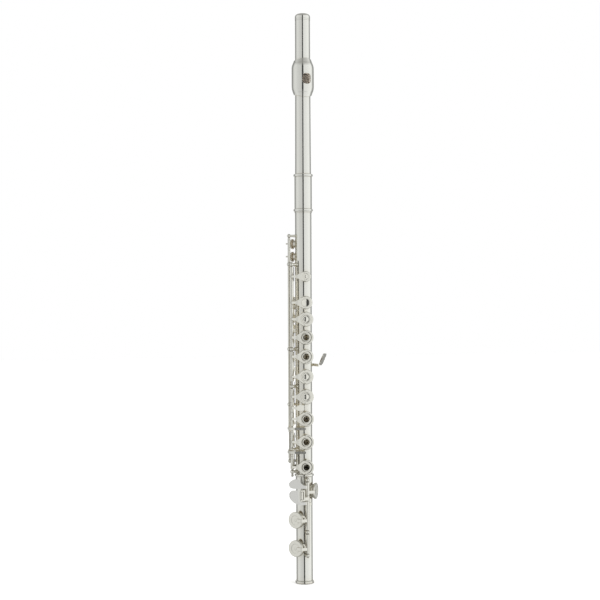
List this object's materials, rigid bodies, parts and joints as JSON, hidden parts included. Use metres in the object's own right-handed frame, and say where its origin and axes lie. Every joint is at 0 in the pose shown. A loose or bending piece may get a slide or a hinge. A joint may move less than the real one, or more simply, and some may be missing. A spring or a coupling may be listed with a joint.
{
  "type": "concert flute",
  "caption": "Concert flute with open-hole keys: turned tube in head, body and foot joints, lip plate, rod-mounted padded keys with springs, and a threaded crown that shifts the cork.",
  "frame": {"origin": "centre of the foot joint's open end, on the tube axis", "axes": "+Z along the tube axis from the foot to the crown; -Y towards the main line of tone holes; +X towards the G sharp lever"},
  "size_m": [0.0498, 0.0377, 0.672],
  "materials": {
    "tube_silver": "polished silver plate",
    "key_silver": "polished silver plate",
    "rod_steel": "ground steel",
    "spring_steel": "blued steel",
    "pad_skin": "thin membrane over felt",
    "cork_brown": "fine cork"
  },
  "bodies": {
    "foot_joint": {"foot_tube": "tube_silver", "foot_rings": "tube_silver", "posts_foot": "key_silver", "springs_foot": "spring_steel"},
    "foot_d_sharp_key": {"key_foot_d_sharp": "key_silver", "pad_foot_d_sharp": "pad_skin"},
    "foot_c_sharp_key": {"key_foot_c_sharp": "key_silver", "pad_foot_c_sharp": "pad_skin"},
    "foot_c_key": {"key_foot_c": "key_silver", "pad_foot_c": "pad_skin", "rod_foot": "rod_steel"},
    "c_roller": {"roller_c": "key_silver"},
    "body_joint": {"body_tube": "tube_silver", "barrel": "tube_silver", "barrel_rings": "tube_silver", "rib_main": "key_silver", "posts_main": "key_silver", "posts_trill": "key_silver", "posts_thumb": "key_silver", "posts_gs": "key_silver", "springs_body": "spring_steel", "rod_thumb": "rod_steel", "rod_g_sharp": "rod_steel"},
    "c_sharp_key": {"key_c_sharp": "key_silver", "pad_c_sharp": "pad_skin"},
    "b_flat_key": {"key_b_flat": "key_silver", "pad_b_flat": "pad_skin", "rod_left_hand": "rod_steel"},
    "a_key": {"key_a": "key_silver", "pad_a": "pad_skin"},
    "g_key": {"key_g": "key_silver", "pad_g": "pad_skin"},
    "f_sharp_key": {"key_f_sharp": "key_silver", "pad_f_sharp": "pad_skin", "rod_right_hand": "rod_steel", "clutch_collars": "key_silver"},
    "f_key": {"key_f": "key_silver", "pad_f": "pad_skin"},
    "e_key": {"key_e": "key_silver", "pad_e": "pad_skin"},
    "d_key": {"key_d": "key_silver", "pad_d": "pad_skin"},
    "b_flat_side_lever": {"key_b_flat_side": "key_silver"},
    "d_trill_key": {"key_trill_d": "key_silver", "pad_trill_d": "pad_skin"},
    "d_sharp_trill_key": {"key_trill_d_sharp": "key_silver", "pad_trill_d_sharp": "pad_skin", "rod_trill": "rod_steel"},
    "g_sharp_key": {"key_g_sharp": "key_silver", "pad_g_sharp": "pad_skin"},
    "thumb_key": {"key_thumb": "key_silver", "pad_thumb": "pad_skin"},
    "thumb_b_flat_lever": {"key_thumb_b_flat": "key_silver"},
    "head_joint": {"head_tube": "tube_silver", "lip_plate": "tube_silver", "riser": "tube_silver"},
    "crown_cap": {"crown": "tube_silver"},
    "cork_stopper": {"cork": "cork_brown", "cork_screw": "rod_steel", "cork_washer": "rod_steel"}
  },
  "joints": [
    {"name": "foot_turn", "type": "hinge", "parent": "foot_joint", "child": "body_joint", "pos_m": [0, 0, 0.1235], "axis": [0, 0, 1], "range_deg": [-30, 30]},
    {"name": "head_slide", "type": "slide", "parent": "body_joint", "child": "head_joint", "axis": [0, 0, 1], "range_m": [0, 0.03]},
    {"name": "crown_turn", "type": "hinge", "parent": "head_joint", "child": "crown_cap", "pos_m": [0, 0, 0.668], "axis": [0, 0, 1], "range_deg": [-720, 720]},
    {"name": "cork_slide", "type": "slide", "parent": "head_joint", "child": "cork_stopper", "axis": [0, 0, 1], "range_m": [-0.0015, 0.0015]},
    {"name": "c_sharp_press", "type": "hinge", "parent": "body_joint", "child": "c_sharp_key", "pos_m": [-0.01595, -0.00644, 0.3485], "axis": [0, 0, 1], "range_deg": [0, 8.8], "stiffness_Nm_per_rad": 0.006, "springref_deg": -57.3},
    {"name": "b_flat_press", "type": "hinge", "parent": "body_joint", "child": "b_flat_key", "pos_m": [-0.01595, -0.00644, 0.3138], "axis": [0, 0, 1], "range_deg": [0, 8.8], "stiffness_Nm_per_rad": 0.006, "springref_deg": -57.3},
    {"name": "a_press", "type": "hinge", "parent": "body_joint", "child": "a_key", "pos_m": [-0.01595, -0.00644, 0.2912], "axis": [0, 0, 1], "range_deg": [0, 8.8], "stiffness_Nm_per_rad": 0.006, "springref_deg": -57.3},
    {"name": "g_press", "type": "hinge", "parent": "body_joint", "child": "g_key", "pos_m": [-0.01595, -0.00644, 0.256], "axis": [0, 0, 1], "range_deg": [0, 8.8], "stiffness_Nm_per_rad": 0.006, "springref_deg": -57.3},
    {"name": "f_sharp_press", "type": "hinge", "parent": "body_joint", "child": "f_sharp_key", "pos_m": [-0.01595, -0.00644, 0.2215], "axis": [0, 0, 1], "range_deg": [0, 8.8], "stiffness_Nm_per_rad": 0.006, "springref_deg": -57.3},
    {"name": "f_press", "type": "hinge", "parent": "body_joint", "child": "f_key", "pos_m": [-0.01595, -0.00644, 0.1936], "axis": [0, 0, 1], "range_deg": [0, 8.8], "stiffness_Nm_per_rad": 0.006, "springref_deg": -57.3},
    {"name": "e_press", "type": "hinge", "parent": "body_joint", "child": "e_key", "pos_m": [-0.01595, -0.00644, 0.1721], "axis": [0, 0, 1], "range_deg": [0, 8.8], "stiffness_Nm_per_rad": 0.006, "springref_deg": -57.3},
    {"name": "d_press", "type": "hinge", "parent": "body_joint", "child": "d_key", "pos_m": [-0.01595, -0.00644, 0.1458], "axis": [0, 0, 1], "range_deg": [0, 8.8], "stiffness_Nm_per_rad": 0.006, "springref_deg": -57.3},
    {"name": "b_flat_side_press", "type": "hinge", "parent": "body_joint", "child": "b_flat_side_lever", "pos_m": [-0.01595, -0.00644, 0.208], "axis": [0, 0, 1], "range_deg": [0, 8], "stiffness_Nm_per_rad": 0.003, "springref_deg": -57.3},
    {"name": "d_trill_press", "type": "hinge", "parent": "body_joint", "child": "d_trill_key", "pos_m": [-0.01729, 0.0006, 0.2839], "axis": [0, 0, 1], "range_deg": [0, 11], "stiffness_Nm_per_rad": 0.006, "springref_deg": -57.3},
    {"name": "d_sharp_trill_press", "type": "hinge", "parent": "body_joint", "child": "d_sharp_trill_key", "pos_m": [-0.01729, 0.0006, 0.276], "axis": [0, 0, 1], "range_deg": [0, 11], "stiffness_Nm_per_rad": 0.006, "springref_deg": -57.3},
    {"name": "g_sharp_press", "type": "hinge", "parent": "body_joint", "child": "g_sharp_key", "pos_m": [0.01084, 0.01122, 0.2503], "axis": [0, 0, -1], "range_deg": [0, 10], "stiffness_Nm_per_rad": 0.006, "springref_deg": -57.3},
    {"name": "thumb_press", "type": "hinge", "parent": "body_joint", "child": "thumb_key", "pos_m": [-0.00109, 0.01556, 0.3292], "axis": [0, 0, 1], "range_deg": [0, 9], "stiffness_Nm_per_rad": 0.006, "springref_deg": -57.3},
    {"name": "thumb_b_flat_press", "type": "hinge", "parent": "body_joint", "child": "thumb_b_flat_lever", "pos_m": [-0.00109, 0.01556, 0.3055], "axis": [0, 0, 1], "range_deg": [0, 6], "stiffness_Nm_per_rad": 0.003, "springref_deg": -57.3},
    {"name": "foot_d_sharp_press", "type": "hinge", "parent": "foot_joint", "child": "foot_d_sharp_key", "pos_m": [0.00039, -0.0148, 0.1128], "axis": [0, 0, -1], "range_deg": [0, 10], "stiffness_Nm_per_rad": 0.006, "springref_deg": -57.3},
    {"name": "foot_c_sharp_press", "type": "hinge", "parent": "foot_joint", "child": "foot_c_sharp_key", "pos_m": [0.00039, -0.0148, 0.0816], "axis": [0, 0, -1], "range_deg": [0, 10.5], "stiffness_Nm_per_rad": 0.006, "springref_deg": -57.3},
    {"name": "foot_c_press", "type": "hinge", "parent": "foot_joint", "child": "foot_c_key", "pos_m": [0.00039, -0.0148, 0.0787], "axis": [0, 0, -1], "range_deg": [0, 10.5], "stiffness_Nm_per_rad": 0.006, "springref_deg": -57.3},
    {"name": "c_roller_spin", "type": "hinge", "parent": "foot_c_key", "child": "c_roller", "pos_m": [-0.0079, -0.01776, 0.1053], "axis": [0, 0, 1], "continuous": true}
  ],
  "couplings": [
    {"joint": "crown_turn", "follows": "cork_slide", "rad_per_m": -8377.6},
    {"joint": "b_flat_press", "follows": "a_press", "ratio": 1},
    {"joint": "f_sharp_press", "follows": "f_press", "ratio": 1}
  ]
}
